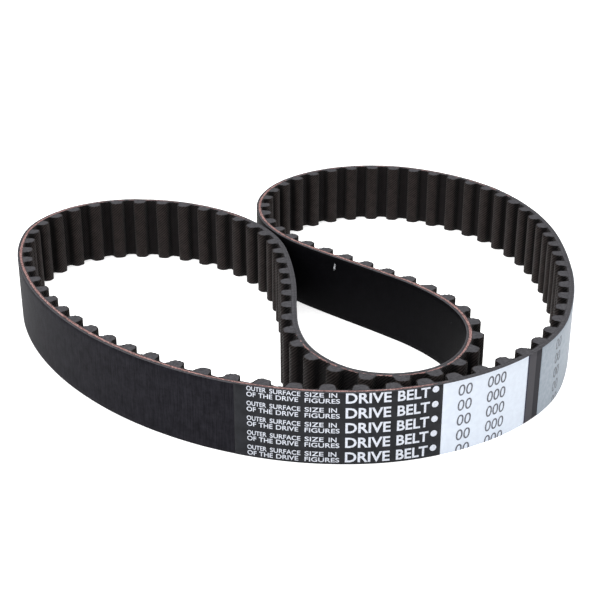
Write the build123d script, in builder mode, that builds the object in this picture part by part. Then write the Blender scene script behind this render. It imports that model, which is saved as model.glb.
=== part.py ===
"""Endless timing belt, standing on its cut edge in a free loop: two lobes and a fold between them."""
from build123d import *
import cmath
import math
import os

# Driving dimensions, in millimetres
PITCH = 9.525               # tooth spacing along the cords' centre line
TEETH = 103
WIDTH = 23.0
LOOP = PITCH * TEETH        # length of the cords' centre line, the pitch line

# Distances from the pitch line, positive towards the teeth
BACK_FACE = -1.31           # smooth outer face
CORD_BED = -0.60            # the back rubber ends and the gum round the cords begins
TOOTH_BASE = 0.45           # the gum ends, the teeth and the facing begin
LAND_FACE = 0.75            # face of the facing between the teeth
TIP_FACE = 4.09             # face of the facing over a tooth

# Teeth and their facing
FACING = LAND_FACE - TOOTH_BASE
ROOT_HALF = 2.55            # half of a core tooth's width where it meets the gum
TIP_HALF = 1.72             # the same at its tip, before the rounding
TIP_BLEND = 1.40            # tangent length of the rounding between flank and tip
ROOT_BLEND = 1.35           # distance from the core tooth to where the facing's root rounding starts

# Tension cords: closed turns side by side, alternately of S and of Z twist
CORD_DIAMETER = 0.9         # over the corners of its eight-sided section
CORD_SIDES = 8
CORD_TURNS = 17
CORD_SPACING = WIDTH / CORD_TURNS

# Transfers on the back, as thicknesses and as stretches of the belt from the first station
FILM = 0.10
INK = 0.05
LABEL_SPAN = (-36.2, 23.4)
NUMBER_SPAN = (23.4, 55.4)
DATE_SPAN = (62.7, 129.0)

# Print: a stretch for each word or character, the lowest row's middle, and the height of a row
ROW_PITCH = 4.75
ROWS = 5
EDGE_MARGIN = 0.05          # print stops this far inside the cut edges
SMALL_HEIGHT = 1.45
UPPER_LINE = 3.30
LOWER_LINE = 1.45
HANDLING_UPPER = [(-32.3, -26.6), (-25.6, -16.9)]
HANDLING_LOWER = [(-32.3, -29.6), (-28.8, -24.8), (-23.8, -17.5)]
ORIGIN_UPPER = [(-15.7, -10.4), (-9.0, -6.8)]
ORIGIN_LOWER = [(-15.7, -6.0)]
TITLE_WORDS = [(-4.4, 8.2), (10.0, 19.4)]
TITLE_HEIGHT = 3.3
TITLE_ROW = 2.40
DOT_PLACE = 21.1
DOT_RADIUS = 1.0
DOT_ROW = 2.95
CHARACTER_HEIGHT = 3.5
CHARACTER_WIDTH = 1.9
CHARACTER_ROW = 0.40
PREFIX_STARTS = [28.3, 31.1]
NUMBER_STARTS = [38.5, 41.1, 43.7]
DATE_STARTS = [72.6, 75.4]

SHORTEST = 0.02             # no piece of an outline is shorter than this

# The free loop: places and headings (x, y, degrees) of the pitch line, anticlockwise from above,
# chosen where it faces round headings. The first is the middle of the first tooth. Two arcs that
# share a tangent join each pair, so the loop is smooth all the way round.
STATIONS = [
    (17, -114, 3),
    (50, -104, 30),
    (78, -76.5, 60),
    (87.5, -51.5, 75),
    (94, 3, 90),
    (90, 35, 105),
    (69.5, 73, 135),
    (31, 91.5, 180),
    (-9, 67.5, 240),
    (-16, 41, 270),
    (-8, 11, 300),
    (18, -18, 317),
    (46, -49, 300),
    (52.5, -72, 270),
    (26, -104.5, 180),
    (0, -81, 105),
    (-2.5, -50, 90),
    (-25, 29, 135),
    (-66, 47, 180),
    (-90, 37, 225),
    (-101.5, 9, 270),
    (-84, -50, 300),
    (-34, -101, 330),
]


# --- The pitch line -------------------------------------------------------------------------
# Points in plan are complex numbers, x + y*1j.

class PathArc:
    """One arc of the pitch line, from where it starts, which way it heads and where it ends."""

    def __init__(self, start, heading, end):
        chord = (end - start) * cmath.exp(-1j * heading)
        self.start = start
        self.heading = heading
        self.curvature = 2 * chord.imag / abs(chord) ** 2
        self.length = 2 * cmath.phase(chord) / self.curvature

    def at(self, s):
        """Point and heading at a distance along the arc."""
        turned = self.heading + self.curvature * s
        step = (cmath.exp(1j * turned) - cmath.exp(1j * self.heading)) / (1j * self.curvature)
        return self.start + step, turned


def arc_pair(start, heading, end, end_heading):
    """The two arcs, tangent to each other, between two points with given headings."""
    leave = cmath.exp(1j * heading)
    arrive = cmath.exp(1j * end_heading)
    gap = end - start
    along = (gap * (leave + arrive).conjugate()).real
    spread = 2 * (1 - (leave * arrive.conjugate()).real)
    reach = (math.sqrt(along ** 2 + spread * abs(gap) ** 2) - along) / spread
    middle = (start + reach * leave + end - reach * arrive) / 2
    first = PathArc(start, heading, middle)
    return first, PathArc(middle, first.at(first.length)[1], end)


def pitch_line(scale, shift):
    """All arcs of the loop, scaled about the origin and then moved."""
    arcs = []
    for here, after in zip(STATIONS, STATIONS[1:] + STATIONS[:1]):
        start = complex(here[0], here[1]) * scale + shift
        end = complex(after[0], after[1]) * scale + shift
        arcs += arc_pair(start, math.radians(here[2]), end, math.radians(after[2]))
    return arcs


def place(s, offset=0.0):
    """Point at a distance along the belt and at an offset from the pitch line, and its heading."""
    s = s % LOOP
    for arc in ARCS:
        if s <= arc.length or arc is ARCS[-1]:
            break
        s -= arc.length
    point, heading = arc.at(s)
    return point + offset * 1j * cmath.exp(1j * heading), heading


def arc_ends(start, end):
    """Distances along the belt where one arc ends and the next begins, inside a stretch."""
    found = []
    for lap in (-LOOP, 0.0, LOOP):
        s = lap
        for arc in ARCS:
            if start + SHORTEST < s < end - SHORTEST:
                found.append(s)
            s += arc.length
    return sorted(found)


# The loop is scaled so that its pitch line is exactly as long as its teeth ask for
ARCS = pitch_line(1.0, 0)
SCALE = LOOP / sum(arc.length for arc in ARCS)
ARCS = pitch_line(SCALE, 0)


# --- Drawing helpers ------------------------------------------------------------------------

def xy(point):
    return point.real, point.imag


def wall(start, end, offset):
    """Draw the line that runs parallel to the pitch line over a stretch of the belt."""
    stops = [start] + arc_ends(start, end) + [end]
    for here, after in zip(stops, stops[1:]):
        ThreePointArc(*[xy(place(s, offset)[0]) for s in (here, (here + after) / 2, after)])


def ring(inner, outer):
    """The closed band between two offsets from the pitch line."""
    with BuildSketch() as band:
        with BuildLine():
            wall(0, LOOP, outer)
        make_face()
        with BuildLine():
            wall(0, LOOP, inner)
        make_face(mode=Mode.SUBTRACT)
    return band.sketch


def strip(span, inner, outer):
    """A thin curved plate over a stretch of the belt."""
    with BuildSketch() as plate:
        with BuildLine():
            for offset in (inner, outer):
                wall(*span, offset)
            for s in span:
                Line(*[xy(place(s, offset)[0]) for offset in (inner, outer)])
        make_face()
    return plate.sketch


def tooth_side(s, side, skin):
    """Half of a tooth's outline, side 1 or -1, with a skin of a given thickness over the core.

    Gives the flank's direction, the corner where flank and tip would meet, and the two ends of
    the rounding there.
    """
    middle, heading = place(s)
    along = cmath.exp(1j * heading)
    core_root = place(s + side * ROOT_HALF, TOOTH_BASE)[0]
    core_corner = middle + complex(side * TIP_HALF, TIP_FACE - FACING) * along
    up = (core_corner - core_root) / abs(core_corner - core_root)
    flank_normal = -1j * side * up
    tip_normal = 1j * along
    both = flank_normal + tip_normal
    corner = core_corner + skin * both / (1 + (flank_normal * tip_normal.conjugate()).real)
    blend = TIP_BLEND + skin * abs(flank_normal - tip_normal) / abs(both)
    return up, corner, corner - blend * up, corner - blend * side * along


def tooth_top(s, skin):
    """Draw the rounding at both ends of a tooth's tip, and the tip between them."""
    starts = []
    for side in (-1, 1):
        up, corner, flank_end, tip_start = tooth_side(s, side, skin)
        TangentArc(xy(flank_end), xy(tip_start), tangent=xy(up))
        starts.append(xy(tip_start))
    Line(*starts)


def core_flanks(s):
    """Draw both flanks of a core tooth, from the gum to the rounding."""
    for side in (-1, 1):
        root = place(s + side * ROOT_HALF, TOOTH_BASE)[0]
        Line(xy(root), xy(tooth_side(s, side, 0)[2]))


def faced_flanks(s):
    """Draw both flanks of a tooth in its facing, each with the rounding at its root."""
    for side in (-1, 1):
        up, corner, flank_end, tip_start = tooth_side(s, side, FACING)
        foot, heading = place(s + side * (ROOT_HALF + ROOT_BLEND), LAND_FACE)
        land = cmath.exp(1j * heading)
        to_corner = corner - foot
        reach = (to_corner.conjugate() * up).imag / (land.conjugate() * up).imag
        flank_start = foot + reach * land + abs(reach) * up
        TangentArc(xy(foot), xy(flank_start), tangent=xy(-side * land))
        Line(xy(flank_start), xy(flank_end))


def all_round(draw):
    """The lines that a drawing function makes for each tooth in turn."""
    lines = []
    for s in TOOTH_PLACES:
        with BuildLine() as one_pitch:
            draw(s)
        lines += one_pitch.edges()
    return lines


def save(piece, name):
    """Label a finished sub-part and write its STEP file."""
    piece.part.label = name
    export_step(piece.part, f"parts/{name}.step")


os.makedirs("parts", exist_ok=True)

# The middle of the outer box, label included, is moved to the origin
FILM_FACE = BACK_FACE - FILM
INK_FACE = FILM_FACE - INK
with BuildLine() as outline:
    wall(0, LOOP, BACK_FACE)
    wall(*LABEL_SPAN, INK_FACE)
CENTRE = outline.line.bounding_box().center()
ARCS = pitch_line(SCALE, -complex(CENTRE.X, CENTRE.Y))
TOOTH_PLACES = [PITCH * number for number in range(TEETH)]


# --- Back rubber ----------------------------------------------------------------------------

with BuildPart() as back_rubber:
    with BuildSketch():
        add(ring(CORD_BED, BACK_FACE))
    extrude(amount=WIDTH)
save(back_rubber, "back_rubber")


# --- Tension cords and the gum between them ---------------------------------------------------

def cord_turns(first):
    """Every second closed turn of cord, from the first one's number upwards."""
    with BuildLine() as turn:
        wall(0, LOOP, 0)
    start, heading = place(0)
    section = Plane(origin=(*xy(start), 0), x_dir=(0, 0, 1), z_dir=(*xy(cmath.exp(1j * heading)), 0))
    with BuildPart() as one_turn:
        with BuildSketch(section):
            RegularPolygon(CORD_DIAMETER / 2, CORD_SIDES, rotation=180 / CORD_SIDES)
        sweep(path=turn.line)
    rows = [CORD_SPACING * (number + 0.5) for number in range(first, CORD_TURNS, 2)]
    return [Pos(0, 0, height) * one_turn.part for height in rows]


with BuildPart() as tension_cord_s:
    add(cord_turns(0))
save(tension_cord_s, "tension_cord_s")

with BuildPart() as tension_cord_z:
    add(cord_turns(1))
save(tension_cord_z, "tension_cord_z")

with BuildPart() as cord_gum:
    with BuildSketch():
        add(ring(TOOTH_BASE, CORD_BED))
    extrude(amount=WIDTH)
    add(cord_turns(0) + cord_turns(1), mode=Mode.SUBTRACT)
save(cord_gum, "cord_gum")


# --- Teeth and their facing -------------------------------------------------------------------

def core_tooth(s):
    """Draw a core tooth's flanks and tip."""
    core_flanks(s)
    tooth_top(s, 0)


def core_pitch(s):
    """Draw a core tooth and the gum's face from it to the next one."""
    core_tooth(s)
    wall(s + ROOT_HALF, s + PITCH - ROOT_HALF, TOOTH_BASE)


def faced_pitch(s):
    """Draw a tooth in its facing and the faced land from it to the next one."""
    faced_flanks(s)
    tooth_top(s, FACING)
    foot = ROOT_HALF + ROOT_BLEND
    wall(s + foot, s + PITCH - foot, LAND_FACE)


def tooth_face(s):
    """The section of one core tooth, which sits on the gum."""
    with BuildSketch() as section:
        with BuildLine():
            wall(s - ROOT_HALF, s + ROOT_HALF, TOOTH_BASE)
            core_tooth(s)
        make_face()
    return section.sketch


with BuildPart() as tooth_rubber:
    with BuildSketch():
        add([tooth_face(s) for s in TOOTH_PLACES])
    extrude(amount=WIDTH)
save(tooth_rubber, "tooth_rubber")

with BuildPart() as facing_fabric:
    with BuildSketch():
        make_face(all_round(core_pitch))
        make_face(all_round(faced_pitch), mode=Mode.SUBTRACT)
    extrude(amount=WIDTH)
save(facing_fabric, "facing_fabric")


# --- Transfers on the back --------------------------------------------------------------------

def film(span):
    """A transfer film over the belt's whole width."""
    with BuildPart() as plate:
        with BuildSketch():
            add(strip(span, BACK_FACE, FILM_FACE))
        extrude(amount=WIDTH)
    return plate


label_film = film(LABEL_SPAN)
save(label_film, "label_film")

number_panel = film(NUMBER_SPAN)
save(number_panel, "number_panel")

date_panel = film(DATE_SPAN)
save(date_panel, "date_panel")


def print_rows(lines):
    """Plain blocks of print in every row: each line is its spans, its lowest middle and height."""
    with BuildPart() as blocks:
        for spans, middle, height in lines:
            for row in range(ROWS):
                low = max(EDGE_MARGIN, middle + ROW_PITCH * row - height / 2)
                high = min(WIDTH - EDGE_MARGIN, middle + ROW_PITCH * row + height / 2)
                for span in spans:
                    with BuildSketch(Plane.XY.offset(low)):
                        add(strip(span, FILM_FACE, INK_FACE))
                    extrude(amount=high - low)
    return blocks


def characters(starts):
    """The spans of single characters."""
    return [(start, start + CHARACTER_WIDTH) for start in starts]


handling_print = print_rows([
    (HANDLING_UPPER, UPPER_LINE, SMALL_HEIGHT),
    (HANDLING_LOWER, LOWER_LINE, SMALL_HEIGHT),
])
save(handling_print, "handling_print")

origin_print = print_rows([
    (ORIGIN_UPPER, UPPER_LINE, SMALL_HEIGHT),
    (ORIGIN_LOWER, LOWER_LINE, SMALL_HEIGHT),
])
save(origin_print, "origin_print")

title_print = print_rows([(TITLE_WORDS, TITLE_ROW, TITLE_HEIGHT)])
save(title_print, "title_print")

prefix_print = print_rows([(characters(PREFIX_STARTS), CHARACTER_ROW, CHARACTER_HEIGHT)])
save(prefix_print, "prefix_print")

number_print = print_rows([(characters(NUMBER_STARTS), CHARACTER_ROW, CHARACTER_HEIGHT)])
save(number_print, "number_print")

date_print = print_rows([(characters(DATE_STARTS), CHARACTER_ROW, CHARACTER_HEIGHT)])
save(date_print, "date_print")

with BuildPart() as title_dots:
    centre, heading = place(DOT_PLACE, FILM_FACE)
    outward = -1j * cmath.exp(1j * heading)
    for row in range(ROWS):
        height = DOT_ROW + ROW_PITCH * row
        with BuildSketch(Plane(origin=(*xy(centre), height), z_dir=(*xy(outward), 0))):
            Circle(DOT_RADIUS)
        extrude(amount=INK)
save(title_dots, "title_dots")
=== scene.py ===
"""Looks of the timing belt around its CAD frame: rubber, cut edges, cord, facing and printed label."""
import math

import bmesh
import bpy
import numpy as np
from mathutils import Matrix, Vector

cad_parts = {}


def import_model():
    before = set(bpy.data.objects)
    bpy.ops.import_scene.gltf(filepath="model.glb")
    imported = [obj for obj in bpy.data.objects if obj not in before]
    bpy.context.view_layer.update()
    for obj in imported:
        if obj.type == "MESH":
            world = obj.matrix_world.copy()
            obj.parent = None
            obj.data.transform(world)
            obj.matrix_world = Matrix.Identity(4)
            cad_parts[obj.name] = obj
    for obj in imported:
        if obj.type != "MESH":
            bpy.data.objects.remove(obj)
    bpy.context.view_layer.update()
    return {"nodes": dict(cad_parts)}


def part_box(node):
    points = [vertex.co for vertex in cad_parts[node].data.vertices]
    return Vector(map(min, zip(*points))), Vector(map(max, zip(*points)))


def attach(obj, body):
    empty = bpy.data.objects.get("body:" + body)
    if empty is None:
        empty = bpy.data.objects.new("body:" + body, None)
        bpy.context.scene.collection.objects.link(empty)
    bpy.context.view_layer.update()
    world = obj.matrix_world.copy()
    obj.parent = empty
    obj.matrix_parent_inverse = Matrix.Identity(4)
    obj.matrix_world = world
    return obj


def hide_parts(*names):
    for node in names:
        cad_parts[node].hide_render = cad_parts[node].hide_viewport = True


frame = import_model()

# --- Driving dimensions, in millimetres, as the CAD has them --------------------------------------
MM = 0.001
PITCH = 9.525
TEETH = 103
LOOP = PITCH * TEETH
WIDTH = 23.0
BACK_FACE = -1.31           # distances from the pitch line, positive towards the teeth
CORD_BED = -0.60
TOOTH_BASE = 0.45
LAND_FACE = 0.75
TIP_FACE = 4.09
FACING = LAND_FACE - TOOTH_BASE
ROOT_HALF = 2.55
TIP_HALF = 1.72
TIP_BLEND = 1.40
ROOT_BLEND = 1.35
FILM = 0.10
INK = 0.05
FILM_FACE = BACK_FACE - FILM

# Places and headings (x, y, degrees) of the pitch line, anticlockwise from above, as the CAD has
# them. The first is the middle of the first tooth.
STATIONS = [
    (17, -114, 3),
    (50, -104, 30),
    (78, -76.5, 60),
    (87.5, -51.5, 75),
    (94, 3, 90),
    (90, 35, 105),
    (69.5, 73, 135),
    (31, 91.5, 180),
    (-9, 67.5, 240),
    (-16, 41, 270),
    (-8, 11, 300),
    (18, -18, 317),
    (46, -49, 300),
    (52.5, -72, 270),
    (26, -104.5, 180),
    (0, -81, 105),
    (-2.5, -50, 90),
    (-25, 29, 135),
    (-66, 47, 180),
    (-90, 37, 225),
    (-101.5, 9, 270),
    (-84, -50, 300),
    (-34, -101, 330),
]


# --- The pitch line: pairs of tangent arcs from station to station ----------------------------------
# Points in plan are complex numbers, x + y*1j.

def arc(start, heading, end):
    """Start, heading, curvature and length of an arc that leaves start at a heading."""
    chord = (end - start) * np.exp(-1j * heading)
    curvature = 2 * chord.imag / abs(chord) ** 2
    return start, heading, curvature, 2 * np.angle(chord) / curvature


def arc_pair(start, heading, end, end_heading):
    """The two arcs, tangent to each other, between two points with given headings."""
    leave = np.exp(1j * heading)
    arrive = np.exp(1j * end_heading)
    gap = end - start
    along = (gap * np.conj(leave + arrive)).real
    spread = 2 * (1 - (leave * np.conj(arrive)).real)
    reach = (math.sqrt(along ** 2 + spread * abs(gap) ** 2) - along) / spread
    middle = (start + reach * leave + end - reach * arrive) / 2
    first = arc(start, heading, middle)
    return [first, arc(middle, heading + first[2] * first[3], end)]


def pitch_arcs(scale):
    """All arcs of the loop as rows of start, heading, curvature and length."""
    rows = []
    for here, after in zip(STATIONS, STATIONS[1:] + STATIONS[:1]):
        start = complex(here[0], here[1]) * scale
        end = complex(after[0], after[1]) * scale
        rows += arc_pair(start, math.radians(here[2]), end, math.radians(after[2]))
    return np.array(rows)


ARCS = pitch_arcs(1.0)
ARCS = pitch_arcs(LOOP / ARCS[:, 3].real.sum())
ARC_STARTS = np.concatenate([[0.0], np.cumsum(ARCS[:, 3].real)[:-1]])


def place(s, offset=0.0):
    """Points at distances along the belt and offsets from the pitch line, and the headings."""
    s = np.mod(s, LOOP)
    which = np.searchsorted(ARC_STARTS, s, side="right") - 1
    start, heading, curvature = (ARCS[which, column] for column in range(3))
    turned = heading.real + curvature.real * (s - ARC_STARTS[which])
    step = (np.exp(1j * turned) - np.exp(1j * heading.real)) / (1j * curvature.real)
    return start + step + offset * 1j * np.exp(1j * turned), turned


def box_middle(points):
    """Middle of the plan box round some points."""
    real, imag = points.real, points.imag
    return complex(real.min() + real.max(), imag.min() + imag.max()) / 2


# The whole line moves so that the back face lies where the CAD has it
low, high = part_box("back_rubber")
cad_middle = complex(low[0] + high[0], low[1] + high[1]) / 2 / MM
ARCS[:, 0] += cad_middle - box_middle(place(np.arange(0, LOOP, 0.1), BACK_FACE)[0])


# --- Seeded unevenness ------------------------------------------------------------------------------

RIPPLE_WAVES = 16


def ragged(s, step, seed):
    """Uneven line round the belt, between -1 and 1, with a new value every step."""
    count = int(round(LOOP / step))
    values = np.random.default_rng(seed).uniform(-1, 1, count)
    return np.interp(np.mod(s, LOOP) * count / LOOP, np.arange(count + 1), np.append(values, values[0]))


def ripple(s, z, size, seed):
    """Smooth unevenness over the belt's surface, about -1 to 1, with waves of a given size."""
    rng = np.random.default_rng(seed)
    total = 0.0
    for turns, rise, phase in rng.uniform(-1, 1, (RIPPLE_WAVES, 3)):
        round_belt = round(turns * LOOP / size) * 2 * math.pi / LOOP
        total = total + np.cos(round_belt * s + rise * 2 * math.pi / size * z + phase * math.pi)
    return total / math.sqrt(RIPPLE_WAVES)


# --- Meshes -----------------------------------------------------------------------------------------

def make_object(name, points, faces, corners_uv, slots, materials, smooth=True):
    """A mesh piece in metres from points in millimetres, with its belt UVs also in millimetres."""
    mesh = bpy.data.meshes.new(name)
    mesh.from_pydata((points * MM).tolist(), [], faces)
    layer = mesh.uv_layers.new(name="belt")
    layer.data.foreach_set("uv", np.asarray(corners_uv, dtype=np.float32).ravel())
    mesh.polygons.foreach_set("material_index", np.asarray(slots, dtype=np.int32))
    mesh.polygons.foreach_set("use_smooth", np.full(len(faces), smooth))
    for material in materials:
        mesh.materials.append(material)
    mesh.update()
    piece = bpy.data.objects.new(name, mesh)
    bpy.context.collection.objects.link(piece)
    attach(piece, "root")
    return piece


def tube(name, plan, heights, uv, materials, slot_of=None, closed=True, flip=False):
    """A skin whose columns run round the belt and whose rows go once round its section.

    plan and heights are arrays of columns by rows; uv has one more row, and one more column if
    the piece goes all the way round the belt. An open piece gets a flat end at each end. The
    rows go up on the back's side and down on the teeth's side, or flip is set.
    """
    columns, rows = plan.shape
    points = np.stack([plan.real, plan.imag, heights], -1).reshape(-1, 3)
    spans = columns if closed else columns - 1
    column, row = np.meshgrid(np.arange(spans), np.arange(rows), indexing="ij")
    corners = [(column, row), (column + 1, row), (column + 1, row + 1), (column, row + 1)]
    if flip:
        corners.reverse()
    faces = np.stack([(a % columns) * rows + b % rows for a, b in corners], -1).reshape(-1, 4).tolist()
    corners_uv = np.stack([uv[a, b] for a, b in corners], -2).reshape(-1, 2)
    slots = np.zeros(spans * rows, int) if slot_of is None else np.tile(slot_of, spans)
    if not closed:
        faces.append(list(range(rows)))
        faces.append([(columns - 1) * rows + r for r in range(rows)][::-1])
        corners_uv = np.concatenate([corners_uv, uv[0, :rows], uv[-1, :rows][::-1]])
        slots = np.append(slots, [0, 0])
    return make_object(name, points, faces, corners_uv, slots, materials)


def section_uv(s, heights, offsets, closed):
    """UVs with the way round the belt across and the way round the section up."""
    across = np.append(s, LOOP + s[0]) if closed else s
    heights = np.concatenate([heights, heights[:, :1]], 1)
    offsets = np.concatenate([offsets, offsets[:, :1]], 1)
    step = np.abs(np.diff(heights, axis=1)) + np.abs(np.diff(offsets, axis=1))
    up = np.concatenate([heights[:, :1], heights[:, :1] + np.cumsum(step, 1)], 1)
    if closed:
        up = np.concatenate([up, up[:1]], 0)
    return np.stack([np.broadcast_to(across[:, None], up.shape), up], -1)


# --- Materials --------------------------------------------------------------------------------------

class Nodes:
    """Short names for the shader nodes that the materials share."""

    def __init__(self, name, roughness, specular=0.5, mapped=True):
        self.material = bpy.data.materials.new(name)
        self.material.use_nodes = True
        self.tree = self.material.node_tree
        self.shader = self.tree.nodes["Principled BSDF"]
        self.shader.inputs["Roughness"].default_value = roughness
        self.shader.inputs["Specular IOR Level"].default_value = specular
        if mapped:
            self.uv = self.uv_map("belt")
            self.along, self.up = self.split(self.uv)
        else:
            places = self.tree.nodes.new("ShaderNodeTexCoord").outputs["Object"]
            self.uv = self.mapping(places, (1 / MM, 1 / MM, 1 / MM))

    def uv_map(self, name):
        node = self.tree.nodes.new("ShaderNodeUVMap")
        node.uv_map = name
        return node.outputs["UV"]

    def split(self, vector):
        node = self.tree.nodes.new("ShaderNodeSeparateXYZ")
        self.feed(node.inputs[0], vector)
        return node.outputs[0], node.outputs[1]

    def feed(self, socket, value):
        if isinstance(value, bpy.types.NodeSocket):
            self.tree.links.new(value, socket)
        else:
            socket.default_value = value

    def mapping(self, vector, scale, turn=0.0):
        node = self.tree.nodes.new("ShaderNodeMapping")
        self.feed(node.inputs["Vector"], vector)
        node.inputs["Scale"].default_value = scale
        node.inputs["Rotation"].default_value = (0, 0, turn)
        return node.outputs["Vector"]

    def stretched(self, across, up, turn=0.0):
        """The belt's UVs scaled differently across and up, and turned."""
        return self.mapping(self.uv, (across, up, 1), turn)

    def noise(self, vector, scale, detail=3.0, rough=0.55):
        node = self.tree.nodes.new("ShaderNodeTexNoise")
        self.feed(node.inputs["Vector"], vector)
        node.inputs["Scale"].default_value = scale
        node.inputs["Detail"].default_value = detail
        node.inputs["Roughness"].default_value = rough
        return node.outputs["Fac"]

    def wave(self, vector, scale, distortion):
        node = self.tree.nodes.new("ShaderNodeTexWave")
        self.feed(node.inputs["Vector"], vector)
        node.inputs["Scale"].default_value = scale
        node.inputs["Distortion"].default_value = distortion
        return node.outputs["Fac"]

    def cells(self, vector, scale):
        node = self.tree.nodes.new("ShaderNodeTexVoronoi")
        self.feed(node.inputs["Vector"], vector)
        node.inputs["Scale"].default_value = scale
        return node.outputs["Distance"]

    def math(self, operation, first, second):
        node = self.tree.nodes.new("ShaderNodeMath")
        node.operation = operation
        self.feed(node.inputs[0], first)
        self.feed(node.inputs[1], second)
        return node.outputs[0]

    def between(self, value, low, high):
        """0 below low, 1 above high, or the other way about when low is the larger."""
        node = self.tree.nodes.new("ShaderNodeMapRange")
        node.interpolation_type = "SMOOTHSTEP"
        self.feed(node.inputs["Value"], value)
        node.inputs["From Min"].default_value = low
        node.inputs["From Max"].default_value = high
        return node.outputs["Result"]

    def mix(self, factor, first, second):
        node = self.tree.nodes.new("ShaderNodeMix")
        node.data_type = "RGBA"
        self.feed(node.inputs["Factor"], factor)
        self.feed(node.inputs[6], first)
        self.feed(node.inputs[7], second)
        return node.outputs[2]

    def finish(self, colour, height, distance, strength=1.0):
        """Connect the colour and a bump height in units of distance (mm)."""
        self.feed(self.shader.inputs["Base Color"], colour)
        bump = self.tree.nodes.new("ShaderNodeBump")
        bump.inputs["Strength"].default_value = strength
        bump.inputs["Distance"].default_value = distance * MM
        self.feed(bump.inputs["Height"], height)
        self.feed(self.shader.inputs["Normal"], bump.outputs["Normal"])
        return self.material


def grey(red, green, blue):
    return (red, green, blue, 1.0)


# Where stretches of the back fade in and out: the painted shade on the fold, the bare gap between
# the panels, the dark stripe and the dark line in that gap; and the chips of pale dust on the fold
FOLD_SHADE_START = (300.0, 360.0)
FOLD_SHADE_END = (600.0, 540.0)
LINE_START = (55.2, 55.4)
LINE_END = (56.1, 55.9)
GAP_START = (55.2, 55.9)
GAP_END = (59.9, 59.6)
STRIPE_START = (59.6, 59.9)
STRIPE_END = (62.9, 62.6)
CHIPS = [(416.5, 19.3, 0.55, 1.2), (474.5, 17.5, 0.16, 0.16)]


def back_rubber_material():
    """Ground charcoal rubber: upright streaks, mottling, pale specks, painted shade on the fold, the gap
    between the panels, dust.
    """
    n = Nodes("back_rubber", 0.6, 0.04)
    streaks = n.noise(n.stretched(1.0, 0.05), 2.2, 4.0, 0.7)
    mottle = n.noise(n.uv, 0.32, 5.0, 0.75)
    tone = n.math("ADD", n.math("MULTIPLY", streaks, 0.6), n.math("MULTIPLY", mottle, 0.5))
    dark, light = grey(0.0050, 0.0048, 0.0068), grey(0.0172, 0.0165, 0.0215)
    colour = n.mix(n.between(tone, 0.38, 0.74), dark, light)
    # Painted shade: the back darkened along the fold
    fold_shade = n.math("MULTIPLY", n.between(n.along, *FOLD_SHADE_START), n.between(n.along, *FOLD_SHADE_END))
    colour = n.mix(n.math("MULTIPLY", fold_shade, 0.85), colour, grey(0.0014, 0.0013, 0.0017))
    bare = n.math("MULTIPLY", n.between(n.along, *GAP_START), n.between(n.along, *GAP_END))
    colour = n.mix(bare, colour, grey(0.066, 0.064, 0.071))
    stripe = n.math("MULTIPLY", n.between(n.along, *STRIPE_START), n.between(n.along, *STRIPE_END))
    colour = n.mix(stripe, colour, grey(0.030, 0.029, 0.034))
    line = n.math("MULTIPLY", n.between(n.along, *LINE_START), n.between(n.along, *LINE_END))
    colour = n.mix(line, colour, grey(0.020, 0.019, 0.045))
    speck = n.between(n.noise(n.uv, 3.2, 1.0), 0.80, 0.84)
    colour = n.mix(speck, colour, grey(0.12, 0.12, 0.13))
    for s, z, wide, tall in CHIPS:
        across = n.math("DIVIDE", n.math("SUBTRACT", n.along, s), wide)
        upward = n.math("DIVIDE", n.math("SUBTRACT", n.up, z), tall)
        away = n.math("ADD", n.math("MULTIPLY", across, across), n.math("MULTIPLY", upward, upward))
        uneven = n.math("ADD", away, n.math("MULTIPLY", n.noise(n.uv, 2.2, 3.0), 6.0))
        colour = n.mix(n.between(uneven, 3.7, 3.4), colour, grey(0.62, 0.63, 0.66))
    grain = n.noise(n.uv, 6.0, 5.0, 0.7)
    height = n.math("ADD", n.math("MULTIPLY", streaks, 0.7), n.math("MULTIPLY", grain, 0.6))
    return n.finish(colour, height, 0.03, 0.8)


def cut_rubber_material():
    """Knife-cut rubber: dull grey, torn by the blade, with small pits darkened by painted shade."""
    n = Nodes("cut_rubber", 0.85, 0.15)
    coarse = n.noise(n.uv, 0.9, 5.0, 0.7)
    fine = n.noise(n.uv, 5.0, 4.0, 0.7)
    dark, light = grey(0.0430, 0.0423, 0.0468), grey(0.081, 0.079, 0.087)
    colour = n.mix(n.between(coarse, 0.3, 0.7), dark, light)
    pits = n.between(n.cells(n.uv, 1.1), 0.20, 0.05)
    # Painted shade: the small pits darkened
    colour = n.mix(n.math("MULTIPLY", pits, 0.7), colour, grey(0.02, 0.02, 0.021))
    height = n.math("SUBTRACT", n.math("ADD", coarse, fine), pits)
    return n.finish(colour, height, 0.10)


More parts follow.
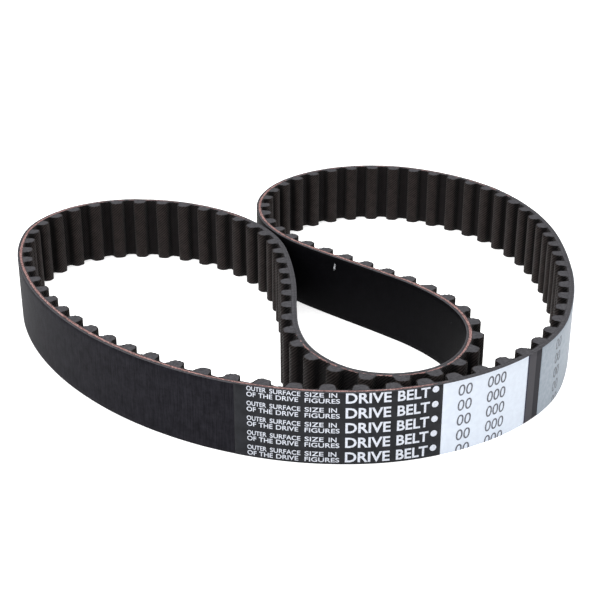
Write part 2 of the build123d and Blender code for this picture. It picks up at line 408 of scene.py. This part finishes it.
def facing_material():
    """Brown-black woven nylon: fine slanted ribs, with a little wear."""
    n = Nodes("facing_weave", 0.7, 0.06)
    ribs = n.wave(n.stretched(1.0, 1.0, math.radians(-48)), 0.40, 0.4)
    depth = n.split(n.uv_map("depth"))[0]
    flank = n.between(depth, TIP_FACE - 0.5, TOOTH_BASE + 1.6)
    land = n.between(depth, LAND_FACE + 0.5, LAND_FACE + 0.1)
    worn = n.noise(n.uv, 0.35, 4.0, 0.6)
    grain = n.noise(n.uv, 1.3, 5.0, 0.8)
    fuzz = n.noise(n.uv, 7.0, 3.0, 0.6)
    tone = n.math("ADD", n.math("MULTIPLY", worn, 0.5), n.math("MULTIPLY", grain, 0.5))
    dark, light = grey(0.0055, 0.0044, 0.0043), grey(0.0170, 0.0136, 0.0131)
    colour = n.mix(n.between(tone, 0.35, 0.68), dark, light)
    rubbed = n.math("ADD", n.math("MULTIPLY", worn, 0.6), 0.12)
    shown = n.math("MULTIPLY", n.between(ribs, 0.40, 1.0), rubbed)
    colour = n.mix(shown, colour, grey(0.066, 0.050, 0.047))
    fibres = n.between(n.noise(n.stretched(1.0, 0.35), 4.0, 2.0), 0.5, 0.75)
    colour = n.mix(n.math("MULTIPLY", fibres, 0.35), colour, grey(0.040, 0.031, 0.029))
    colour = n.mix(n.math("MULTIPLY", land, 0.5), colour, grey(0.0088, 0.0086, 0.0106))
    shade = n.math("SUBTRACT", n.math("MULTIPLY", flank, 0.90), n.math("MULTIPLY", land, 0.50))
    colour = n.mix(shade, colour, grey(0.0012, 0.0010, 0.0012))
    height = n.math("ADD", ribs, n.math("MULTIPLY", fuzz, 0.5))
    n.shader.inputs["Sheen Weight"].default_value = 0.05
    n.shader.inputs["Sheen Roughness"].default_value = 0.5
    return n.finish(colour, height, 0.22)


def cord_material(name, mapped=True):
    """Dipped glass cord, cut open: salmon strands with darker and paler stretches."""
    n = Nodes(name, 0.75, 0.3, mapped)
    stretch = n.noise(n.stretched(1.0, 0.5), 0.22, 4.0, 0.75)
    strands = n.noise(n.stretched(0.8, 2.4, 0.5), 1.6, 3.0, 0.6)
    dark, light = grey(0.13, 0.063, 0.058), grey(0.34, 0.182, 0.170)
    colour = n.mix(n.between(stretch, 0.32, 0.62), dark, light)
    colour = n.mix(n.between(strands, 0.54, 0.64), colour, grey(0.56, 0.39, 0.365))
    colour = n.mix(n.between(strands, 0.49, 0.38), colour, grey(0.085, 0.038, 0.036))
    return n.finish(colour, strands, 0.08)


def film_material(name, dark, light, roughness, mottle_size=0.3):
    """Thin printed transfer film with faint mottling and the rubber's grain under it."""
    n = Nodes(name, roughness, 0.1)
    mottle = n.noise(n.uv, mottle_size, 4.0, 0.6)
    grain = n.noise(n.uv, 5.0, 4.0, 0.7)
    colour = n.mix(n.between(mottle, 0.3, 0.7), dark, light)
    return n.finish(colour, n.math("ADD", mottle, n.math("MULTIPLY", grain, 0.5)), 0.03, 0.6)


def ink_material(name, thin, full, roughness):
    """Printed ink, a little thin in places."""
    n = Nodes(name, roughness, 0.25)
    cover = n.noise(n.uv, 1.7, 4.0, 0.7)
    return n.finish(n.mix(n.between(cover, 0.33, 0.55), thin, full), cover, 0.02, 0.5)


BACK = back_rubber_material()
CUT = cut_rubber_material()
WEAVE = facing_material()
CORD = cord_material("cord_strands")
INNER_CORD = cord_material("inner_cord", mapped=False)
BLACK_FILM = film_material("black_film", grey(0.0120, 0.0126, 0.0150), grey(0.0190, 0.0199, 0.0235), 0.5)
WHITE_FILM = film_material("white_film", grey(0.595, 0.645, 0.725), grey(0.635, 0.69, 0.77), 0.5, 0.6)
GREY_FILM = film_material("grey_film", grey(0.255, 0.298, 0.337), grey(0.315, 0.350, 0.402), 0.5, 0.6)
WHITE_INK = ink_material("white_ink", grey(0.42, 0.44, 0.49), grey(0.61, 0.64, 0.71), 0.5)
GREY_INK = ink_material("grey_ink", grey(0.20, 0.21, 0.24), grey(0.075, 0.077, 0.095), 0.5)
FAINT_INK = ink_material("faint_ink", grey(0.25, 0.28, 0.32), grey(0.075, 0.08, 0.092), 0.5)


# --- Rubber bands: back and gum ----------------------------------------------------------------------

COLUMN_STEP = 0.75
FACE_ROWS = 14              # rows up the outer face, from the lower edge to the upper one
CUT_SLOT = 1


def band(name, outer, inner, edge_round, top_wear, seed, materials):
    """A closed band between two offsets, with its cut edges a little uneven."""
    s = np.arange(0, LOOP, LOOP / round(LOOP / COLUMN_STEP))
    column = s[:, None]
    rows = np.linspace(edge_round, WIDTH - edge_round, FACE_ROWS)
    offsets = [outer] * FACE_ROWS + [outer + edge_round, inner, inner, outer + edge_round]
    heights = list(rows) + [WIDTH, WIDTH, 0.0, 0.0]
    offsets = np.tile(offsets, (len(s), 1))
    heights = np.tile(heights, (len(s), 1))
    offsets[:, :FACE_ROWS] += 0.02 * ripple(column, heights[:, :FACE_ROWS], 26.0, seed)
    wear = top_wear * (ragged(s, 1.5, seed + 1) + 0.6 * ragged(s, 0.8, seed + 2))
    heights[:, FACE_ROWS:FACE_ROWS + 2] += wear[:, None]
    heights[:, FACE_ROWS + 2:] += 0.3 * np.abs(wear)[:, None]
    plan = place(column, offsets)[0]
    slot_of = [0] * (FACE_ROWS - 1) + [CUT_SLOT, CUT_SLOT, 0, CUT_SLOT, CUT_SLOT]
    return tube(name, plan, heights, section_uv(s, heights, offsets, True), materials, slot_of)


belt_back = band("belt_back", BACK_FACE, CORD_BED, 0.10, 0.035, 10, [BACK, CUT])
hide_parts("back_rubber")

gum_core = band("gum_core", CORD_BED, TOOTH_BASE, 0.05, 0.04, 20, [CUT, CUT])
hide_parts("cord_gum")


# --- The cut turns of cord in both cut edges ---------------------------------------------------------

CORD_RADIUS = 0.40
CORD_ROWS = 10
CORD_STEP = 0.6
CORD_PROUD = 0.07                       # how far a turn may stand above the upper cut edge
HALF_SHOWN = 0.74
CORD_SHOWS = [(33, 54), (78, 106)]      # stretches, in tooth numbers, where the knife met the cord
CORD_HALF_SHOWS = [(21, 34), (52, 61), (71, 79)]
CORD_WIDE = [(34, 54), (81, 97)]        # where it is cut aslant, across the whole gum
CORD_NEAR_TEETH = [(54, 66)]            # where it lies on the teeth's side of the gum


def showing(s, stretches, fade=2.5 * PITCH):
    """1 inside the stretches and 0 outside them, fading over a distance at each end."""
    most = np.zeros_like(s)
    for first, last in stretches:
        for lap in (-LOOP, 0.0, LOOP):
            inside = np.minimum(s - lap - first * PITCH, last * PITCH - s + lap)
            most = np.maximum(most, np.clip(inside / fade + 0.5, 0, 1))
    return most


def cut_cord(name, surface, side, stretches, half_stretches, seed):
    """One turn of cord that comes up to a cut edge where the knife met it and dips under elsewhere."""
    s = np.arange(0, LOOP, LOOP / round(LOOP / CORD_STEP))
    show = np.maximum(showing(s, stretches), HALF_SHOWN * showing(s, half_stretches))
    wide = showing(s, CORD_WIDE)
    depth = 0.66 - 0.42 * show + 0.03 * ragged(s, 2.2, seed) + 0.03 * ragged(s, 0.9, seed + 1)
    around = np.linspace(0, 2 * math.pi, CORD_ROWS, endpoint=False)[None, :]
    radius = CORD_RADIUS * (1 + 0.10 * ragged(s, 1.3, seed + 2))[:, None]
    middle = 0.05 * ragged(s, 6.0, seed + 3) + 0.45 * showing(s, CORD_NEAR_TEETH) + 0.12 * wide - 0.20
    offsets = radius * (1 + 0.4 * wide[:, None]) * np.sin(around) + middle[:, None]
    heights = surface - side * depth[:, None] + side * radius * np.cos(around)
    heights = np.clip(heights, 0.01, WIDTH + CORD_PROUD)
    plan = place(s[:, None], offsets)[0]
    piece = tube(name, plan, heights, section_uv(s, heights, offsets, True), [CORD], flip=side < 0)


cut_cord("cord_cut_top", WIDTH, 1, CORD_SHOWS, CORD_HALF_SHOWS, 30)
cut_cord("cord_cut_bottom", 0.0, -1, [(10, 38)], [(38, 46)], 40)
for node in ("tension_cord_s", "tension_cord_z"):
    frame["nodes"][node].data.materials.clear()
    frame["nodes"][node].data.materials.append(INNER_CORD)


# --- Teeth and their facing --------------------------------------------------------------------------

def bend(start, corner, end, count):
    """Points along the rounding between two tangent points, without the last one."""
    t = np.arange(count) / count
    return (1 - t) ** 2 * start + 2 * t * (1 - t) * corner + t ** 2 * end


def run(start, end, count):
    """Points along a straight stretch, without the last one."""
    return start + (end - start) * np.arange(count) / count


def tooth_side(s, side, skin):
    """One side of a tooth: ends and corners of its root and tip roundings, from root to tip."""
    middle, heading = place(s)
    along = np.exp(1j * heading)
    core_root = place(s + side * ROOT_HALF, TOOTH_BASE)[0]
    core_corner = middle + complex(side * TIP_HALF, TIP_FACE - FACING) * along
    up = (core_corner - core_root) / abs(core_corner - core_root)
    flank_normal = -1j * side * up
    tip_normal = 1j * along
    both = flank_normal + tip_normal
    corner = core_corner + skin * both / (1 + (flank_normal * np.conj(tip_normal)).real)
    blend = TIP_BLEND + skin * abs(flank_normal - tip_normal) / abs(both)
    foot, foot_heading = place(s + side * (ROOT_HALF + ROOT_BLEND), TOOTH_BASE + skin)
    land = np.exp(1j * foot_heading)
    reach = (np.conj(corner - foot) * up).imag / (np.conj(land) * up).imag
    meet = foot + reach * land
    flank_start = meet + skin / FACING * abs(reach) * up
    tip_start = corner - blend * side * along
    return foot, meet, flank_start, corner - blend * up, corner, tip_start


def faced_outline(s, skin):
    """Points of one pitch: up one flank, over the tip, down the other and along the land."""
    left = tooth_side(s, -1, skin)
    right = tooth_side(s, 1, skin)
    foot = ROOT_HALF + ROOT_BLEND
    land = place(s + np.linspace(foot, PITCH - foot, 5)[:-1], TOOTH_BASE + skin)[0]
    return np.concatenate([
        bend(left[0], left[1], left[2], 4),
        run(left[2], left[3], 3),
        bend(left[3], left[4], left[5], 5),
        run(left[5], right[5], 3),
        bend(right[5], right[4], right[3], 5),
        run(right[3], right[2], 3),
        bend(right[2], right[1], right[0], 4),
        land,
    ])


def depth_map(piece, depths):
    """A second UV map on a piece that holds each point's distance from the pitch line."""
    corners = np.empty(len(piece.data.loops), dtype=np.int32)
    piece.data.loops.foreach_get("vertex_index", corners)
    layer = piece.data.uv_layers.new(name="depth")
    values = np.stack([depths[corners], 0 * depths[corners]], -1)
    layer.data.foreach_set("uv", values.astype(np.float32).ravel())


SKIN_ROWS = 12              # rows up the facing's outer face


def facing():
    """The woven skin, endless round the belt, its cut edges slightly frayed."""
    outer = np.concatenate([faced_outline(PITCH * tooth, FACING) for tooth in range(TEETH)])
    inner = np.concatenate([faced_outline(PITCH * tooth, 0.0) for tooth in range(TEETH)])
    length = np.cumsum(np.abs(np.diff(outer, append=outer[:1])))
    s = np.concatenate([[0.0], length[:-1]])
    rows = np.linspace(0.03, WIDTH - 0.05, SKIN_ROWS)
    fray, hem = np.random.default_rng(50).uniform(-1, 1, (2, len(outer), 1))
    heights = np.concatenate([rows, [WIDTH - 0.02, WIDTH - 0.06, 0.05, 0.02]])
    heights = np.tile(heights, (len(outer), 1))
    heights[:, SKIN_ROWS - 1:SKIN_ROWS + 2] += 0.12 * fray
    heights[:, [0, SKIN_ROWS + 2, SKIN_ROWS + 3]] += 0.10 * np.abs(hem)
    middle = 0.75 * outer + 0.25 * inner
    plan = np.stack([outer] * SKIN_ROWS + [middle, inner, inner, middle], 1)
    inward = np.exp(1j * np.angle(inner - outer))[:, None]
    plan[:, :SKIN_ROWS] += 0.02 * ripple(s[:, None], rows[None, :], 9.0, 51) * inward
    offsets = np.tile([0.0] * SKIN_ROWS + [0.1, FACING, FACING, 0.1], (len(outer), 1))
    uv = section_uv(s, heights, offsets, True)
    uv[-1, :, 0] = length[-1]
    piece = tube("facing_skin", plan, heights, uv, [WEAVE], flip=True)
    middles, headings = place(PITCH * np.repeat(np.arange(TEETH), len(outer) // TEETH))
    depth_map(piece, np.repeat(((outer - middles) * np.exp(-1j * headings)).imag, plan.shape[1]))
    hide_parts("facing_fabric")


def core_outline(s):
    """Points round one core tooth, from its root over the tip and back along the gum."""
    left = tooth_side(s, -1, 0.0)
    right = tooth_side(s, 1, 0.0)
    roots = [place(s + side * ROOT_HALF, TOOTH_BASE)[0] for side in (-1, 1)]
    base = place(s + np.linspace(ROOT_HALF, -ROOT_HALF, 8)[:-1], TOOTH_BASE)[0]
    return np.concatenate([
        run(roots[0], left[3], 4),
        bend(left[3], left[4], left[5], 4),
        run(left[5], right[5], 4),
        bend(right[5], right[4], right[3], 4),
        run(right[3], roots[1], 4),
        base,
    ])


RING_SCALES = [0.0, 0.25, 0.5, 0.72, 0.88, 0.97, 1.0]


def teeth():
    """All core teeth in one piece of separate closed solids, with torn and dimpled cut ends."""
    rng = np.random.default_rng(60)
    points, faces, uvs = [], [], []
    for tooth in range(TEETH):
        outline = core_outline(PITCH * tooth)
        middle = outline.mean()
        count = len(outline)
        lean = rng.uniform(-0.05, 0.05, 2)
        rings = [(scale, WIDTH) for scale in RING_SCALES] + [(scale, 0.0) for scale in RING_SCALES[::-1]]
        first = len(points)
        for scale, level in rings:
            ring = middle + (outline - middle) * scale if scale else np.array([middle])
            side = 1 if level else -1
            rough = 0.07 * rng.uniform(-1, 1, len(ring)) if 0 < scale < 1 else np.full(len(ring), -0.03)
            tilt = ((ring - middle).real * lean[0] + (ring - middle).imag * lean[1]) * (1 if level else 0)
            rise = np.maximum(side * (rough + tilt), 0.0) if not level else rough + tilt
            for point, up in zip(ring, rise):
                points.append((point.real, point.imag, level + up))
                uvs.append((PITCH * tooth + (point - middle).real, (point - middle).imag))
        starts = np.cumsum([first] + [1 if scale == 0 else count for scale, level in rings])
        for index in range(len(rings) - 1):
            upper, lower = starts[index], starts[index + 1]
            for here in range(count):
                after = (here - 1) % count
                if rings[index][0] == 0:
                    faces.append((upper, lower + here, lower + after))
                elif rings[index + 1][0] == 0:
                    faces.append((upper + here, lower, upper + after))
                else:
                    faces.append((upper + here, lower + here, lower + after, upper + after))
    uvs = np.array(uvs)
    corners_uv = np.concatenate([uvs[list(face)] for face in faces])
    piece = make_object("tooth_cores", np.array(points), faces, corners_uv, [0] * len(faces), [CUT])
    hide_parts("tooth_rubber")


facing()
teeth()


# --- Films and print on the back ---------------------------------------------------------------------

FILM_MARGIN = 0.12          # from a film's outermost rows to the belt's cut edges
PRESSED = 0.03              # how deep the ink, and the ends of a film, are pressed in
LABEL_SPAN = (-36.2, 23.4)
NUMBER_SPAN = (23.4, 55.4)
DATE_SPAN = (62.7, 129.0)


def film(name, span, node, material, seed):
    """A thin transfer film that follows the back, its edges pressed down."""
    s = np.linspace(*span, int((span[1] - span[0]) / COLUMN_STEP))
    rows = np.linspace(FILM_MARGIN, WIDTH - FILM_MARGIN, FACE_ROWS)
    offsets = np.tile([FILM_FACE] * FACE_ROWS + [BACK_FACE + 0.02] * 2, (len(s), 1))
    heights = np.tile(np.concatenate([rows, [WIDTH + 0.02, 0.0]]), (len(s), 1))
    offsets[:, :FACE_ROWS] += 0.015 * ripple(s[:, None], rows[None, :], 18.0, seed)
    offsets[[0, -1], :FACE_ROWS] = BACK_FACE - PRESSED
    plan = place(s[:, None], offsets)[0]
    piece = tube(name, plan, heights, section_uv(s, heights, offsets, False), [material], closed=False)
    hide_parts(node)


film("label_skin", LABEL_SPAN, "label_film", BLACK_FILM, 70)
film("number_skin", NUMBER_SPAN, "number_panel", WHITE_FILM, 71)
film("date_skin", DATE_SPAN, "date_panel", GREY_FILM, 72)


# Weights of the letters: how far their outlines are pushed out, and steps in each of their curves
BOLD = (0.022, 3)
SEMIBOLD = (0.010, 8)
REGULAR = (0.0, 8)


def flat_text(words, span, middle, height, lean, weight):
    """Words as a flat bmesh in millimetres, stretched to a span and a letter height."""
    curve = bpy.data.curves.new("words", "FONT")
    curve.body = words
    curve.extrude = 0.5
    curve.offset, curve.resolution_u = weight
    holder = bpy.data.objects.new("words", curve)
    bpy.context.collection.objects.link(holder)
    mesh = bpy.data.meshes.new_from_object(holder.evaluated_get(bpy.context.evaluated_depsgraph_get()))
    bpy.data.objects.remove(holder)
    flat = bmesh.new()
    flat.from_mesh(mesh)
    bpy.data.meshes.remove(mesh)
    bmesh.ops.remove_doubles(flat, verts=flat.verts, dist=1e-5)
    places = np.array([v.co[:] for v in flat.verts])
    low, high = places.min(0), places.max(0)
    for vertex, spot in zip(flat.verts, (places - low) / (high - low)):
        across = span[0] + spot[0] * (span[1] - span[0]) + lean * (spot[1] - 0.5) * height
        vertex.co = (across, middle + (spot[1] - 0.5) * height, spot[2])
    return flat


def keep_between(flat, low, high):
    """Cut a flat bmesh off above and below the belt's edges."""
    for level, normal in ((low, (0, -1, 0)), (high, (0, 1, 0))):
        everything = flat.verts[:] + flat.edges[:] + flat.faces[:]
        cut = bmesh.ops.bisect_plane(flat, geom=everything, plane_co=(0, level, 0), plane_no=normal,
                                     clear_outer=True)
        edges = [item for item in cut["geom_cut"] if isinstance(item, bmesh.types.BMEdge)]
        bmesh.ops.holes_fill(flat, edges=edges)


def print_piece(name, parts, node, material):
    """One piece of ink from flat bmeshes of words or marks, laid on the film."""
    points, faces = [], []
    for flat in parts:
        keep_between(flat, 0.08, WIDTH - 0.06)
        bmesh.ops.triangulate(flat, faces=flat.faces[:])
        bmesh.ops.recalc_face_normals(flat, faces=flat.faces[:])
        flat.verts.index_update()
        first = len(points)
        for vertex in flat.verts:
            spot = place(vertex.co.x, FILM_FACE + PRESSED - vertex.co.z * (INK + PRESSED))[0]
            points.append((spot.real, spot.imag, vertex.co.y, vertex.co.x))
        faces += [[first + v.index for v in face.verts] for face in flat.faces]
        flat.free()
    points = np.array(points)
    corners_uv = np.concatenate([points[face][:, [3, 2]] for face in faces])
    slots = [0] * len(faces)
    piece = make_object(name, points[:, :3], faces, corners_uv, slots, [material], smooth=False)
    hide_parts(node)


ROW_PITCH = 4.75
DIGIT_PITCH = 4.87
ROWS = range(5)


def in_rows(words, span, line):
    """The same words once in every row."""
    middle, height, row_pitch, lean, weight = line
    return [flat_text(words, span, middle + row_pitch * row, height, lean, weight) for row in ROWS]


# Lowest middle, height, row pitch, lean and weight of each line
LARGE = (2.40, 3.3, ROW_PITCH, 0.0, BOLD)
UPPER = (3.30, 1.45, ROW_PITCH, 0.0, SEMIBOLD)
LOWER = (1.45, 1.45, ROW_PITCH, 0.0, SEMIBOLD)
DIGITS = (0.40, 3.5, DIGIT_PITCH, 0.08, REGULAR)

title = in_rows("DRIVE", (-4.4, 8.2), LARGE)
title += in_rows("BELT", (10.0, 19.4), LARGE)
print_piece("title_ink", title, "title_print", WHITE_INK)

handling = in_rows("OUTER", (-32.3, -26.6), UPPER)
handling += in_rows("SURFACE", (-25.6, -16.9), UPPER)
handling += in_rows("OF", (-32.3, -29.6), LOWER)
handling += in_rows("THE", (-28.8, -24.8), LOWER)
handling += in_rows("DRIVE", (-23.8, -17.5), LOWER)
print_piece("handling_ink", handling, "handling_print", WHITE_INK)

origin = in_rows("SIZE", (-15.7, -10.4), UPPER)
origin += in_rows("IN", (-9.0, -6.8), UPPER)
origin += in_rows("FIGURES", (-15.7, -6.0), LOWER)
print_piece("origin_ink", origin, "origin_print", WHITE_INK)

print_piece("prefix_ink", in_rows("00", (28.3, 33.0), DIGITS), "prefix_print", GREY_INK)
print_piece("number_ink", in_rows("000", (38.5, 45.6), DIGITS), "number_print", GREY_INK)
print_piece("date_ink", in_rows("00", (72.6, 77.3), DIGITS), "date_print", FAINT_INK)


DOT_PLACE = 21.05
DOT_RADIUS = 1.0
DOT_ROW = 2.95              # the lowest dot's middle


def disc(s, height, radius):
    """A round flat mark."""
    flat = bmesh.new()
    bmesh.ops.create_cone(flat, cap_ends=True, segments=40, radius1=radius, radius2=radius, depth=1.0)
    bmesh.ops.translate(flat, verts=flat.verts, vec=(s, height, 0.5))
    return flat


dots = [disc(DOT_PLACE, DOT_ROW + ROW_PITCH * row, DOT_RADIUS) for row in ROWS]
print_piece("dot_ink", dots, "title_dots", WHITE_INK)


# --- Floor, light and camera -------------------------------------------------------------------------

def floor():
    """A plain, nearly white floor with a painted glow, which keeps shadows off it and throws a little
    light on the belt.
    """
    mesh = bpy.data.meshes.new("floor")
    half = 6.0
    corners = [(-half, -half, 0), (half, -half, 0), (half, half, 0), (-half, half, 0)]
    mesh.from_pydata(corners, [], [(0, 1, 2, 3)])
    material = bpy.data.materials.new("floor")
    material.use_nodes = True
    shader = material.node_tree.nodes["Principled BSDF"]
    shader.inputs["Base Color"].default_value = grey(0.93, 0.93, 0.93)
    shader.inputs["Roughness"].default_value = 0.9
    shader.inputs["Specular IOR Level"].default_value = 0.0
    # Painted light: the floor glows though it is no lamp
    shader.inputs["Emission Color"].default_value = grey(1, 1, 1)
    shader.inputs["Emission Strength"].default_value = 0.55
    mesh.materials.append(material)
    piece = bpy.data.objects.new("floor", mesh)
    bpy.context.collection.objects.link(piece)


def softbox(name, place_at, aim, size, power):
    """A square area light at a place, aimed at a point."""
    light = bpy.data.lights.new(name, "AREA")
    light.size = size
    light.energy = power
    box = bpy.data.objects.new(name, light)
    box.location = place_at
    box.rotation_euler = (Vector(aim) - Vector(place_at)).to_track_quat("-Z", "Y").to_euler()
    bpy.context.collection.objects.link(box)


def world(strength):
    """Even white surroundings."""
    bpy.context.scene.world = bpy.data.worlds.new("studio")
    bpy.context.scene.world.use_nodes = True
    background = bpy.context.scene.world.node_tree.nodes["Background"]
    background.inputs["Color"].default_value = (1, 1, 1, 1)
    background.inputs["Strength"].default_value = strength


def camera():
    """Looks down at the belt from the front, at the photograph's angle."""
    elevation = math.radians(23.9)
    distance = 0.451
    target = Vector((0.0036, 0.0116, 0.0))
    data = bpy.data.cameras.new("camera")
    data.lens = 72.7
    data.sensor_width = 36.0
    holder = bpy.data.objects.new("camera", data)
    holder.location = target + Vector((0, -math.cos(elevation), math.sin(elevation))) * distance
    holder.rotation_euler = (math.pi / 2 - elevation, 0, 0)
    bpy.context.collection.objects.link(holder)
    bpy.context.scene.camera = holder


floor()
world(0.6)
softbox("key", (-0.8, -0.8, 1.0), (0, 0, 0), 1.0, 10.5)
softbox("top", (0.1, 0.2, 1.4), (0, 0, 0), 1.4, 15.5)
camera()
bpy.context.scene.view_settings.view_transform = "Standard"
